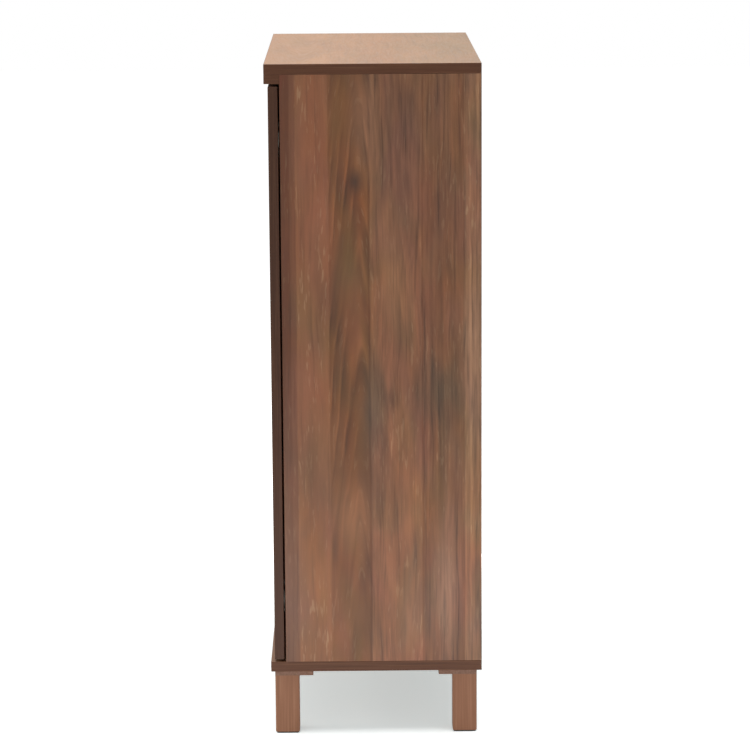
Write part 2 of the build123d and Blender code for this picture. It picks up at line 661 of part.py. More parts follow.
def hinge_plate():
    """Mounting plate on the side's inner face: a base with two screw wings and a boss under the arm."""
    flat = Plane(origin=(BOARD, 0, 0), x_dir=FORWARD, z_dir=RIGHT)
    length = ARM_END - PLATE_START
    middle = -(ARM_END + PLATE_START) / 2
    spine = Pos(middle, 0) * RectangleRounded(length, ARM_WIDTH, ARM_WALL)
    wings = Pos(-PLATE_SCREW_LINE, 0) * SlotOverall(PLATE_WING_LENGTH, PLATE_WING_WIDTH, rotation=90)
    plate = extrude(flat * (spine + wings), PLATE_BASE, dir=RIGHT)
    boss = Pos(middle, 0) * RectangleRounded(length, PLATE_BOSS_WIDTH, ARM_WALL)
    plate += extrude(Pos(PLATE_BASE, 0, 0) * (flat * boss), PLATE_BOSS_HEIGHT, dir=RIGHT)
    cuts = [plate_screw(side, countersunk_hole(WOOD_SCREW_LENGTH)) for side in (-1, 1)]
    cuts += [drilled((BOSS_FACE, -inset, 0), LEFT, PLATE_BOSS_HEIGHT, MACHINE_SCREW_RADIUS)
             for inset in (ADJUSTER_INSET, FIXING_INSET)]
    return plate - cuts


def plate_screw(side, screw):
    """A screw, or its hole, through a wing of the mounting plate into the cabinet's side."""
    origin = (PLATE_FACE, -PLATE_SCREW_LINE, side * PLATE_SCREW_SPACING / 2)
    return Plane(origin=origin, z_dir=RIGHT) * screw


def hinge_plate_screws():
    """The two screws of one mounting plate."""
    return [plate_screw(side, countersunk_screw(WOOD_SCREW_LENGTH)) for side in (-1, 1)]


def hinge_arm_screws():
    """The adjuster and the fixing screw that join one arm to its mounting plate."""
    length = ARM_WEB + ARM_PLATE_PLAY + PLATE_BOSS_HEIGHT
    head = Cylinder(MACHINE_SCREW_HEAD_RADIUS, MACHINE_SCREW_HEAD, align=FROM_BASE)
    head = fillet(head.edges().sort_by(Axis.Z)[-1], MACHINE_SCREW_HEAD / 2)
    screw = head + rod((0, 0, 0), DOWN, length, MACHINE_SCREW_RADIUS)
    return [Plane(origin=(WEB_OUTER, -inset, 0), z_dir=RIGHT) * screw
            for inset in (ADJUSTER_INSET, FIXING_INSET)]


def cup_screws():
    """The two screws of one cup."""
    return [cup_screw(z, countersunk_screw(WOOD_SCREW_LENGTH)) for z in cup_screw_heights()]


def hinge_frame(level):
    """Where a left hinge stands: its plan turned so that forwards is the cabinet's front."""
    return Plane(origin=(-HALF_WIDTH, SIDE_FRONT, level), x_dir=RIGHT, z_dir=DOWN)


def on_left(level, shape):
    """A hinge piece in its place on the left door."""
    return hinge_frame(level) * shape


# Doors and catch


def strike_limits():
    """Limits across the width of the left door's strike plate."""
    right = -DOOR_MEETING_GAP / 2 - STRIKE_EDGE_INSET
    return (right - STRIKE_WIDTH, right)


def catch_level():
    """Height of the catch's magnets and strike plates."""
    return FIXED_SHELF_BASE - CATCH_HEIGHT / 2


def cup_drillings():
    """Holes in a door for one hinge: the cup's, and those of its two screws."""
    bite = WOOD_SCREW_LENGTH - FLANGE_THICKNESS
    cuts = [drilled((CUP_CENTRE, DOOR_REAR_GAP, 0), FORWARD, CUP_DEPTH, CUP_RADIUS)]
    for z in cup_screw_heights():
        cuts.append(drilled((CUP_SCREW_ACROSS, DOOR_REAR_GAP, z), FORWARD, bite, WOOD_SCREW_RADIUS))
        cuts.append(cup_screw(z, countersunk_hole(WOOD_SCREW_LENGTH)))
    return cuts


def left_door():
    """Overlay door with softened edges, a half-round finger pull, and drillings for cups and strike."""
    x = (DOOR_REVEAL - HALF_WIDTH, -DOOR_MEETING_GAP / 2)
    width, height = x[1] - x[0], DOOR_TOP - DOOR_BASE
    face = Plane(origin=(0, DOOR_REAR, 0), x_dir=RIGHT, z_dir=opposite(FORWARD))
    outline = Pos(sum(x) / 2, (DOOR_BASE + DOOR_TOP) / 2) * Rectangle(width, height)
    pull_width = 2 * PULL_DEPTH + DOOR_MEETING_GAP
    outline -= Pos(0, PULL_LEVEL) * SlotOverall(PULL_HEIGHT, pull_width, rotation=90)
    door = extrude(face * outline, DOOR_THICKNESS, dir=opposite(FORWARD))
    rims = door.faces().filter_by(Axis.Y).edges()
    door = fillet(rims, DOOR_EDGE_RADIUS)
    cuts = [on_left(level, cut) for level in HINGE_LEVELS.values() for cut in cup_drillings()]
    strike_middle = (sum(strike_limits()) / 2, DOOR_REAR, catch_level())
    bite = WOOD_SCREW_LENGTH - STRIKE_THICKNESS
    cuts.append(drilled(strike_middle, opposite(FORWARD), bite, WOOD_SCREW_RADIUS))
    cuts.append(left_strike(countersunk_hole(WOOD_SCREW_LENGTH)))
    return door - cuts


def left_strike(screw):
    """The screw of the left strike plate, or its hole, with its head in the plate's rear face."""
    origin = (sum(strike_limits()) / 2, DOOR_REAR + STRIKE_THICKNESS, catch_level())
    return Plane(origin=origin, z_dir=FORWARD) * screw


def left_strike_plate():
    """Steel plate on the left door that the magnet holds."""
    level = catch_level()
    plate = block(strike_limits(), (DOOR_REAR, DOOR_REAR + STRIKE_THICKNESS),
                  (level - STRIKE_HEIGHT / 2, level + STRIKE_HEIGHT / 2))
    plate = fillet(plate.edges().filter_by(Axis.Y), STRIKE_RADIUS)
    return plate - left_strike(countersunk_hole(WOOD_SCREW_LENGTH))


def catch_front():
    """Plane of the catch housing's front face."""
    return DOOR_REAR + STRIKE_THICKNESS + STRIKE_GAP + MAGNET_PROUD


def catch_screw_places():
    """(X, Y) of the two screws through the catch's ears."""
    across = (CATCH_WIDTH + CATCH_EAR_WIDTH) / 2
    along = catch_front() + CATCH_DEPTH - CATCH_EAR_DEPTH / 2
    return [(-across, along), (across, along)]


def magnet_limits(side):
    """Limits across the width of one magnet, behind its door's strike plate."""
    middle = side * abs(sum(strike_limits()) / 2)
    return (middle - MAGNET_WIDTH / 2, middle + MAGNET_WIDTH / 2)


def magnet(side):
    """One magnet, standing a little proud of the housing."""
    level = catch_level()
    front = catch_front() - MAGNET_PROUD
    return block(magnet_limits(side), (front, front + MAGNET_DEPTH),
                 (level - MAGNET_HEIGHT / 2, level + MAGNET_HEIGHT / 2))


def catch_housing():
    """Moulded housing of the double catch, with an ear at each end for its screws."""
    front, low = catch_front(), FIXED_SHELF_BASE - CATCH_HEIGHT
    half = CATCH_WIDTH / 2
    body = block((-half, half), (front, front + CATCH_DEPTH), (low, FIXED_SHELF_BASE))
    body = fillet(body.edges().filter_by(Axis.Y).group_by(Axis.Z)[0], CATCH_RADIUS)
    ear = half + CATCH_EAR_WIDTH
    rear = front + CATCH_DEPTH
    ears = block((-ear, ear), (rear - CATCH_EAR_DEPTH, rear),
                 (FIXED_SHELF_BASE - CATCH_EAR_THICKNESS, FIXED_SHELF_BASE))
    body += fillet(ears.edges().filter_by(Axis.Z), CATCH_RADIUS)
    for side in (-1, 1):
        low_x, high_x = magnet_limits(side)
        level = catch_level()
        half_height = MAGNET_HEIGHT / 2 + MAGNET_PLAY
        body -= block((low_x - MAGNET_PLAY, high_x + MAGNET_PLAY), (front, front + MAGNET_DEPTH),
                      (level - half_height, level + half_height))
    hole = catch_screw(countersunk_hole(WOOD_SCREW_LENGTH))
    return body - [Pos(x, y, 0) * hole for x, y in catch_screw_places()]


def catch_screw(screw):
    """A catch screw, or its hole, at the level of the ears."""
    return Pos(0, 0, FIXED_SHELF_BASE - CATCH_EAR_THICKNESS) * Rot(180, 0, 0) * screw


def catch_screws():
    """The screws that hold the catch under the fixed shelf."""
    screw = catch_screw(countersunk_screw(WOOD_SCREW_LENGTH))
    return [Pos(x, y, 0) * screw for x, y in catch_screw_places()]


# Writing the nodes


def save_pair(name, *left_shapes):
    """Writes a left-hand node and its mirror image."""
    save(f"left_{name}", *left_shapes)
    save(f"right_{name}", *[mirrored(shape) for shape in left_shapes])


def save_carcass():
    """Boards, shelves and the fittings inside their joints."""
    save("top_panel", top_panel())
    save("top_front_strip", top_front_strip())
    save("bottom_panel", bottom_panel())
    save_pair("side_panel", left_side_panel())
    save("back_panel", back_panel())
    save("fixed_shelf", fixed_shelf())
    for number, base in enumerate(loose_shelf_bases(), start=1):
        save(f"loose_shelf_{number}", loose_shelf(base))
    save("shelf_pins", *shelf_pins())
    save("cam_locks", *cam_locks())
    save("cam_bolts", *cam_bolts())
    save("wood_dowels", *wood_dowels())


def save_legs():
    """Legs, plates, glides and their screws."""
    for side, end in leg_corners():
        corner = f"{'front' if end < 0 else 'rear'}_{'left' if side < 0 else 'right'}"
        save(f"{corner}_leg", leg(side, end))
        save(f"{corner}_leg_plate", leg_plate(side, end))
        save(f"{corner}_glide", glide(side, end))
    save("leg_plate_screws", *leg_plate_screws())
    save("leg_screws", *leg_screws())


def save_hinges():
    """Hinges of both doors: cups and pins on the doors, arms and plates on the sides."""
    levels = HINGE_LEVELS.values()
    cup, arm, plate = hinge_cup(), hinge_arm(), hinge_plate()
    for place, level in HINGE_LEVELS.items():
        save_pair(f"{place}_hinge_cup", on_left(level, cup))
        save_pair(f"{place}_hinge_arm", on_left(level, arm))
        save_pair(f"{place}_hinge_plate", on_left(level, plate))
    save_pair("hinge_pins", *[on_left(level, hinge_pin()) for level in levels])
    save_pair("cup_screws", *[on_left(level, screw) for level in levels for screw in cup_screws()])
    plate_screws = [on_left(level, screw) for level in levels for screw in hinge_plate_screws()]
    save("hinge_plate_screws", *plate_screws, *[mirrored(screw) for screw in plate_screws])
    arm_screws = [on_left(level, screw) for level in levels for screw in hinge_arm_screws()]
    save("hinge_arm_screws", *arm_screws, *[mirrored(screw) for screw in arm_screws])


def save_doors():
    """Doors, strike plates and the catch that holds them."""
    save_pair("door", left_door())
    save_pair("strike_plate", left_strike_plate())
    save_pair("strike_screw", left_strike(countersunk_screw(WOOD_SCREW_LENGTH)))
    save("catch_housing", catch_housing())
    save("catch_magnets", magnet(-1), magnet(1))
    save("catch_screws", *catch_screws())


os.makedirs("parts", exist_ok=True)
save_carcass()
save_legs()
save_hinges()
save_doors()
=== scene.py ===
# %% [markdown]
# # A walnut shoe cabinet
# This lesson dresses a finished CAD cabinet for a studio picture. The boards, legs, hinges and
# fittings already have their true shapes and sizes, and the doors already turn on their hinges, so
# the work here is in the finishes, the small fasteners and the light. Everything is in metres, unless a
# name or a comment says millimetres: X runs across the front, Y from the front to the back, and Z is up
# from the floor.

# %% Load the cabinet
import math

import bmesh
import bpy
from mathutils import Euler, Matrix, Vector


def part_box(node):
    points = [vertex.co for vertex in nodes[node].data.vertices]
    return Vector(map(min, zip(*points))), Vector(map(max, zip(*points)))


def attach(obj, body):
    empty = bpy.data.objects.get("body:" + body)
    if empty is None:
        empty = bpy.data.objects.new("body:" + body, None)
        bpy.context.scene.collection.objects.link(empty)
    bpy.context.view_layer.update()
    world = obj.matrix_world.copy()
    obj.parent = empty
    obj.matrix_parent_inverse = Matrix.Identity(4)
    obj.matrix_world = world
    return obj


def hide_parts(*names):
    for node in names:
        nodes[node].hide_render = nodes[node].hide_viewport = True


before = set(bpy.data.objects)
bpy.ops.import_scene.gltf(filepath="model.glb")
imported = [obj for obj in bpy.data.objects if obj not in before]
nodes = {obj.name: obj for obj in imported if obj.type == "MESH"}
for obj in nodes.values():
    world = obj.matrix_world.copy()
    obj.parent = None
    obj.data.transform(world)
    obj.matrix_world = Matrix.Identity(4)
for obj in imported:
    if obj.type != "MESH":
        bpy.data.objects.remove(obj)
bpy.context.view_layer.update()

# %% [markdown]
# ## Colours and nodes
# A colour given in hex is an sRGB value, but a shader works in linear light, so one function turns a
# hex value into linear. A second one adds a shader node, sets it and links it: a value that is a node
# or a socket is linked, and anything else is typed into the input. Most inputs go by name. A Mix node
# has a pair of inputs for each kind of data, so these go by number: 2 and 3 for numbers, 6 and 7 for
# colours, which come out at output 2. A material is then a plain list of nodes, which is easier to read
# than a picture of the node editor.

# %% Helpers for materials


def linear(hex_colour):
    """Linear RGBA of an sRGB hex value such as "7A5A46"."""
    values = [int(hex_colour[n:n + 2], 16) / 255 for n in (0, 2, 4)]
    return [v / 12.92 if v <= 0.04045 else ((v + 0.055) / 1.055) ** 2.4 for v in values] + [1.0]


def add_node(material, kind, inputs=None, stops=(), **settings):
    """Adds a node of a kind such as "Math". inputs maps a socket's name or number to what goes in."""
    tree = material.node_tree
    node = tree.nodes.new("ShaderNode" + kind)
    for name, value in settings.items():
        setattr(node, name, value)
    for socket, value in (inputs or {}).items():
        source = value.outputs[0] if isinstance(value, bpy.types.Node) else value
        if isinstance(source, bpy.types.NodeSocket):
            tree.links.new(source, node.inputs[socket])
        else:
            node.inputs[socket].default_value = source
    for _ in stops[2:]:
        node.color_ramp.elements.new(1.0)
    for number, (place, colour) in enumerate(stops):
        node.color_ramp.elements[number].position = place
        node.color_ramp.elements[number].color = linear(colour) if isinstance(colour, str) else colour
    return node


def new_material(name, finish, **constants):
    """A material whose main shader has linked inputs from finish, a function, and constant ones."""
    material = bpy.data.materials.new(name)
    material.use_nodes = True
    material.node_tree.nodes.clear()
    inputs = finish(material)
    inputs.update({socket.replace("_", " "): value for socket, value in constants.items()})
    add_node(material, "OutputMaterial", {"Surface": add_node(material, "BsdfPrincipled", inputs)})
    return material


print("mid grey in linear light:", round(linear("808080")[0], 3))

# %% [markdown]
# ## Walnut laminate
# The boards are chipboard under a paper printed with walnut and sealed with satin melamine. The print
# shows a sheet glued up from staves of flat-sawn and straight-grained walnut: dark and pale, some with
# pointed arches where the saw passed near the heart of the log, some with fine straight lines, and a
# few stains. An image would be the quick way, but a procedural sheet has no pixels and each board can
# show another part of it. One colour ramp across the sheet gives each stave its colour, and a second
# one says how much figure it has.

# %% The staves of the printed sheet
# Each stave: where it starts in millimetres, its colour, and how much it has of arches, of pale flecks,
# of fine straight lines and of contrast, from 0 to 1. The narrow ones are a soft border and glue lines.
SHEET_WIDTH_MM = 330
STAVE_JOINT_MM = 1.6
STAVES = [
    (0, "5A341F", (0.0, 0.3, 0.3, 0.5)),
    (41, "6B442E", (0.0, 0.3, 0.2, 0.5)),
    (50, "83583B", (0.0, 0.9, 0.25, 0.45)),
    (100, "744B2E", (1.0, 0.3, 0.1, 0.88)),
    (160, "664027", (0.5, 0.0, 0.1, 0.9)),
    (163, "7E563C", (0.25, 0.5, 0.2, 0.98)),
    (242, "6C452C", (0.1, 0.0, 0.4, 1.0)),
    (244, "744E35", (0.1, 0.4, 0.7, 0.98)),
    (307, "8D6649", (0.0, 0.9, 1.0, 1.0)),
]
STAVE_STARTS, STAVE_COLOURS, STAVE_FIGURES = zip(*STAVES)
AVERAGE_STAVE = "7E5A3D"


def stave_stops(values):
    """Stops of a colour ramp across the sheet that steps from one stave's value to the next one's."""
    ends = [start - STAVE_JOINT_MM for start in STAVE_STARTS[1:]] + [SHEET_WIDTH_MM]
    return [(place / SHEET_WIDTH_MM, value)
            for value, start, end in zip(values, STAVE_STARTS, ends) for place in (start, end)]


print(len(STAVES), "staves in a sheet of", SHEET_WIDTH_MM, "mm")

# %% Fibres along the grain
NOISE_MEAN = 0.5


def fibres(material, board, width_mm, length_mm, seed, waviness=0.0):
    """Noise whose spots are width_mm across the grain and length_mm along it."""
    place = add_node(material, "Mapping", {"Vector": board, "Location": (seed, -seed, seed),
                                           "Scale": (1000 / width_mm, 1000 / length_mm, 0.0)})
    return add_node(material, "TexNoise", {"Vector": place, "Scale": 1.0, "Detail": 1.5,
                                           "Roughness": 0.55, "Distortion": waviness})


print("fibres of 4 x 160 mm are a noise scaled by", 1000 / 4, "across and", 1000 / 160, "along")

# %% Lay the sheet on a board
JOINT_WAVER = 0.006


def lay_sheet(material, board, across, sheet_start):
    """Distance across the sheet, laid from one edge. Its mirror image follows where a board is wider."""
    laid = add_node(material, "Math", {0: across, 1: sheet_start}, operation="SUBTRACT")
    uneven = fibres(material, board, 40, 260, seed=2.2)
    laid = add_node(material, "Math", {0: uneven, 1: JOINT_WAVER, 2: laid}, operation="MULTIPLY_ADD")
    return add_node(material, "Math", {0: laid, 1: SHEET_WIDTH_MM / 1000}, operation="PINGPONG")


def staves(material, sheet, evenness):
    """The stave's colour, nearer to the average one the more even it is, and the ramp of its figure."""
    share = add_node(material, "Math", {0: sheet, 1: SHEET_WIDTH_MM / 1000}, operation="DIVIDE")
    stepped = add_node(material, "ValToRGB", {0: share}, stops=stave_stops(STAVE_COLOURS))
    colour = add_node(material, "Mix", {0: evenness, 6: stepped, 7: linear(AVERAGE_STAVE)},
                      data_type="RGBA").outputs[2]
    figure = add_node(material, "ValToRGB", {0: share}, stops=stave_stops(STAVE_FIGURES))
    return colour, figure


print("the joints between staves waver by", 1000 * JOINT_WAVER, "mm")

# %% [markdown]
# ## Rings, fibres and flecks
# The figure of wood comes from how the saw met the log. A wave texture gives stripes but no pointed
# arches, so the arches come from a log in numbers: the distance to the log's axis, plus a slow climb
# along the board, divided by the ring spacing. Everything else is noise, stretched along the grain.
# Each effect changes one brightness, and the brightness scales the colour of the stave.

# %% Growth rings
# The tones of one ring, from 0 to 1 across it: a thin pale line, then a dark band.
RING_TONES = [(0.0, 0.8), (0.15, 0.5), (0.70, 0.0), (0.92, 1.0), (1.0, 0.8)]
MIDDLE_TONE = 0.5
RING_SPACING = 0.0125
RING_RIPPLE = 0.010
HEART_PLACE = 0.158
HEART_WANDER = 0.024
HEART_DEPTH = 0.008
CLIMB = 0.10


def ring_radius(material, board, sheet, along, shift):
    """Distance from the heart of the log, which rises by 10 mm in 100 mm of board, a little wavy."""
    wander = fibres(material, board, 90, 420, seed=3.1)
    ripple = fibres(material, board, 16, 120, seed=7.7)
    swayed = add_node(material, "Math", {0: wander, 1: HEART_WANDER, 2: sheet}, operation="MULTIPLY_ADD")
    offset = add_node(material, "Math", {0: swayed, 1: HEART_PLACE}, operation="SUBTRACT")
    squared = add_node(material, "Math", {0: offset, 1: offset, 2: HEART_DEPTH ** 2},
                       operation="MULTIPLY_ADD")
    radius = add_node(material, "Math", {0: squared}, operation="SQRT")
    climb = add_node(material, "Math", {0: along, 1: CLIMB, 2: shift}, operation="MULTIPLY_ADD")
    climb = add_node(material, "Math", {0: ripple, 1: RING_RIPPLE, 2: climb}, operation="MULTIPLY_ADD")
    return add_node(material, "Math", {0: radius, 1: climb}, operation="ADD")


def growth_rings(material, board, along, radius, arched, strength):
    """Rings about zero, stronger in some places than in others. The heart of the log runs out of the
    board towards the foot, so the arches fade there."""
    ring = add_node(material, "Math", {0: radius, 1: RING_SPACING}, operation="DIVIDE")
    ring = add_node(material, "Math", {0: ring}, operation="FRACT")
    tones = [(place, (tone,) * 4) for place, tone in RING_TONES]
    rings = add_node(material, "ValToRGB", {0: ring}, stops=tones)
    rings = add_node(material, "Math", {0: rings, 1: MIDDLE_TONE}, operation="SUBTRACT")
    strong = add_node(material, "MapRange", {"Value": fibres(material, board, 40, 110, seed=1.3),
                                             "From Min": 0.40, "From Max": 0.62, "To Max": strength})
    fading = add_node(material, "MapRange", {"Value": along, "From Min": 0.35, "From Max": 0.65,
                                             "To Min": 0.3})
    for factor in (strong, arched, fading):
        rings = add_node(material, "Math", {0: rings, 1: factor}, operation="MULTIPLY")
    return rings


print("a growth ring every", 1000 * RING_SPACING, "mm")

# %% Which way the fine figure runs
FOLLOWS_RINGS = 0.3
FIBRE_SWAY = 0.016


def grain_lines(material, board, across, along, radius, arched):
    """Coordinates that follow the rings in arched staves and elsewhere run straight with a slight sway."""
    follows = add_node(material, "Math", {0: arched, 1: FOLLOWS_RINGS}, operation="GREATER_THAN")
    sway = fibres(material, board, 45, 200, seed=5.9)
    swayed = add_node(material, "Math", {0: sway, 1: FIBRE_SWAY, 2: across}, operation="MULTIPLY_ADD")
    bent = add_node(material, "Mix", {0: follows, 2: swayed, 3: radius})
    return add_node(material, "CombineXYZ", {"X": bent, "Y": along})


print("straight fibres sway by", 1000 * FIBRE_SWAY, "mm")

# %% Flecks, streaks and hairlines
# Pale flecks, in clusters, are pores cut open, and hairlines are fine dark rays. Both are under 1 mm
# wide in the wood and are drawn as 3 to 4 mm, to show in a picture of the whole cabinet. A noise has
# its mean taken off, to keep a sum of noises about zero.
FLECK = "B08E6C"
FLECK_STRENGTH = 0.42
STREAK_GAIN = 0.75
FINE_GAIN = 0.60
HAIRLINE_GAIN = -0.30


def pale_flecks(material, board, grain, flecked, strength):
    """How much of the fleck colour shows at each place."""
    flecks = add_node(material, "MapRange", {"Value": fibres(material, grain, 2.8, 26, seed=5.3),
                                             "From Min": 0.59, "From Max": 0.66, "To Max": strength})
    cluster = add_node(material, "MapRange", {"Value": fibres(material, board, 24, 130, seed=3.9),
                                              "From Min": 0.42, "From Max": 0.58})
    for factor in (flecked, cluster):
        flecks = add_node(material, "Math", {0: flecks, 1: factor}, operation="MULTIPLY")
    return flecks


def fine_detail(material, grain, fine):
    """Streaks, fine fibres and hairlines as one swing of brightness."""
    streaks = fibres(material, grain, 9.0, 150, seed=2.9)
    hairlines = add_node(material, "MapRange", {"Value": fibres(material, grain, 4.0, 170, seed=9.2),
                                                "From Min": 0.58, "From Max": 0.66})
    detail = -(STREAK_GAIN + FINE_GAIN) * NOISE_MEAN
    for effect, gain in [(streaks, STREAK_GAIN), (fine, FINE_GAIN), (hairlines, HAIRLINE_GAIN)]:
        detail = add_node(material, "Math", {0: effect, 1: gain, 2: detail}, operation="MULTIPLY_ADD")
    return detail


print("gains of the fine figure:", STREAK_GAIN, FINE_GAIN, HAIRLINE_GAIN)

# %% Brightness and hue
# The fine figure is quieter in arched staves, and the patches are quieter in lined ones. The hue changes
# slowly, each of red, green and blue by itself, and HUE_KEPT of that stays where there is no contrast.
CLOUD_GAIN = 0.60
RING_GAIN = 0.95
LINE_GAIN = 1.5
HUE_MEANS = (0.956, 0.913, 0.896)
HUE_CHANGES = (0.55, 0.20, 0.60)
HUE_KEPT = 0.3


def brightness(material, board, patches, rings, detail, arched, lined, evenness):
    """Adds everything to one swing of brightness about zero."""
    lines = fibres(material, board, 6.0, 700, seed=6.6)
    lines = add_node(material, "Math", {0: lines, 1: NOISE_MEAN}, operation="SUBTRACT")
    lines = add_node(material, "Math", {0: lines, 1: lined}, operation="MULTIPLY")
    clouds = fibres(material, board, 80, 260, seed=12.7)
    patched = add_node(material, "Math", {0: patches, 1: NOISE_MEAN}, operation="SUBTRACT")
    blotch = add_node(material, "MapRange", {"Value": lined, "To Min": 1.30, "To Max": 0.50})
    quiet = add_node(material, "MapRange", {"Value": arched, "To Min": 1.0, "To Max": 0.35})
    straight = LINE_GAIN * (1.0 - evenness)
    swing = -CLOUD_GAIN * NOISE_MEAN
    for effect, gain in [(patched, blotch), (clouds, CLOUD_GAIN), (rings, RING_GAIN), (lines, straight),
                         (detail, quiet)]:
        swing = add_node(material, "Math", {0: effect, 1: gain, 2: swing}, operation="MULTIPLY_ADD")
    return swing


def hue_changes(material, board, strength):
    """What red, green and blue are multiplied by at each place."""
    hue = fibres(material, board, 45, 150, seed=6.1, waviness=0.6).outputs["Color"]
    changes = [change * strength for change in HUE_CHANGES]
    least = [mean - change * NOISE_MEAN for mean, change in zip(HUE_MEANS, changes)]
    return add_node(material, "VectorMath", {0: hue, 1: changes, 2: least}, operation="MULTIPLY_ADD")


print("red, green and blue change by", HUE_CHANGES, "at most")

# %% [markdown]
# ## Stains and the finished laminate
# Walnut has dark knots, grey mineral stains, and heartwood that is paler or darker in places. A painted
# mask could say where, but a soft oval with a ragged rim is enough for each and needs no image. The
# finished sheet is then laid in four ways: on the shelves, the sides, the doors and the top.

# %% Soft ovals
# An oval is strongest in its middle and gone at RIM_FADE times its radius.
RIM_RAGGEDNESS = 1.6
RIM_FADE = 1.8


# On the sides and doors the ovals are stains, and on the top they are painted sheen.
def lay_stains_and_painted_light(material, board, ragged, colour, stains_and_painted_light):
    """Lays soft ovals with ragged rims over a colour, each at (across, along) and of (width, length)."""
    middle = RIM_RAGGEDNESS * NOISE_MEAN
    for across, along, width, length, tint, strength in stains_and_painted_light:
        place = add_node(material, "Mapping", {"Vector": board, "Scale": (2 / width, 2 / length, 0.0),
                                               "Location": (-2 * across / width, -2 * along / length, 0.0)})
        away = add_node(material, "VectorMath", {0: place}, operation="LENGTH").outputs["Value"]
        rim = add_node(material, "Math", {0: ragged, 1: RIM_RAGGEDNESS, 2: away}, operation="MULTIPLY_ADD")
        inside = add_node(material, "MapRange", {"Value": rim, "From Min": middle,
                                                 "From Max": middle + RIM_FADE,
                                                 "To Min": strength, "To Max": 0.0},
                          interpolation_type="SMOOTHSTEP")
        mixed = add_node(material, "Mix", {0: inside, 6: colour, 7: linear(tint)}, data_type="RGBA")
        colour = mixed.outputs[2]
    return colour


print("a stain 20 mm wide is gone", 10 * RIM_FADE, "mm from its middle")

# %% The walnut itself


def walnut(name, across_axis, along_axis, sheet_start, shift, gloss, evenness=0.0, contrast=1.0, stains_and_painted_light=()):
    """Walnut-print laminate with its grain along one axis. Evenness fades the staves and their figure,
    contrast scales the brightness, the flecks and the hue, and shift moves the arches along the board."""

    def finish(material):
        object_coords = add_node(material, "TexCoord").outputs["Object"]
        axes = add_node(material, "SeparateXYZ", {0: object_coords}).outputs
        across, along = axes[across_axis], axes[along_axis]
        board = add_node(material, "CombineXYZ", {"X": across, "Y": along})
        sheet = lay_sheet(material, board, across, sheet_start)
        stave, figure = staves(material, sheet, evenness)
        arched, flecked, lined = add_node(material, "SeparateColor", {0: figure}).outputs
        radius = ring_radius(material, board, sheet, along, shift)
        rings = growth_rings(material, board, along, radius, arched, strength=1.0 - evenness)
        grain = grain_lines(material, board, across, along, radius, arched)
        fine = fibres(material, grain, 3.2, 42, seed=8.3)
        patches = fibres(material, board, 34, 120, seed=4.4, waviness=0.6)

        detail = fine_detail(material, grain, fine)
        swing = brightness(material, board, patches, rings, detail, arched, lined, evenness)
        lively = add_node(material, "Math", {0: figure.outputs["Alpha"], 1: contrast}, operation="MULTIPLY")
        bright = add_node(material, "Math", {0: swing, 1: lively, 2: 1.0}, operation="MULTIPLY_ADD")

        variety = 1.0 - evenness / 2
        hue_share = HUE_KEPT + (1.0 - HUE_KEPT) * contrast
        hue = hue_changes(material, board, hue_share * variety)
        colour = add_node(material, "VectorMath", {0: stave, 1: hue}, operation="MULTIPLY")
        flecks = pale_flecks(material, board, grain, flecked, FLECK_STRENGTH * contrast * variety)
        colour = add_node(material, "Mix", {0: flecks, 6: colour, 7: linear(FLECK)}, data_type="RGBA")
        colour = lay_stains_and_painted_light(material, board, patches, colour.outputs[2], stains_and_painted_light)
        colour = add_node(material, "VectorMath", {0: colour, "Scale": bright}, operation="SCALE")
        return {"Base Color": colour,
                "Roughness": add_node(material, "MapRange", {"Value": fine, "To Min": 0.36, "To Max": 0.52}),
                "Normal": add_node(material, "Bump", {"Height": fine, "Strength": 0.06, "Distance": 4e-4})}

    return new_material(name, finish, IOR=1.5, Specular_IOR_Level=gloss)


# Melamine over print: satin, so the figure stays clear and pale things near it show as a soft veil. The
# shelves are the plainest.
flat_face = walnut("walnut_laminate_flat_boards", "Y", "X", sheet_start=-0.250, shift=0.009, gloss=0.28,
                   evenness=0.9, contrast=0.45)
print("laminate:", flat_face.name, "of", len(flat_face.node_tree.nodes), "nodes")

# %% Laminate with stains, and painted sheen on the top
# Each stain is (across, along, width, length, tint, strength). The sides and doors have a knot, minerals
# and pale and dark heartwood. The top gets the same ovals as painted sheen: more golden all over, for the
# warm sheen of the lamps on its melamine, and also paler in front and browner at the rear.
side_stains = [(-0.028, 0.873, 0.021, 0.040, "342218", 0.90), (-0.036, 0.722, 0.045, 0.100, "554630", 0.45),
               (0.110, 0.548, 0.070, 0.085, "4C4032", 0.55), (0.000, 0.525, 0.035, 0.120, "52453A", 0.50),
               (-0.087, 0.393, 0.040, 0.180, "664733", 0.50), (-0.033, 0.350, 0.045, 0.090, "A07050", 0.40),
               (-0.007, 0.965, 0.050, 0.160, "A0745A", 0.45), (0.048, 0.890, 0.055, 0.220, "634538", 0.45),
               (0.033, 0.710, 0.050, 0.120, "A07050", 0.40), (0.110, 0.230, 0.045, 0.200, "A8846E", 0.38),
               (-0.147, 0.230, 0.060, 0.480, "96705A", 0.38), (0.033, 0.370, 0.055, 0.120, "604331", 0.40),
               (-0.103, 0.840, 0.060, 0.320, "985A42", 0.30), (-0.103, 0.555, 0.050, 0.120, "98604C", 0.30),
               (0.155, 0.590, 0.030, 0.300, "B88E72", 0.45), (0.157, 0.180, 0.030, 0.130, "64503F", 0.55)]
door_stains = [(-0.262, 0.800, 0.018, 0.036, "3A281C", 0.45), (-0.255, 0.430, 0.045, 0.130, "52453A", 0.45),
               (-0.100, 0.420, 0.050, 0.120, "4C4032", 0.35), (-0.210, 0.300, 0.050, 0.200, "A07050", 0.35),
               (0.085, 0.640, 0.040, 0.120, "52453A", 0.45), (0.170, 0.860, 0.050, 0.180, "A0745A", 0.40),
               (0.262, 0.360, 0.050, 0.200, "5E4233", 0.45), (0.050, 0.270, 0.045, 0.100, "4C4032", 0.40)]
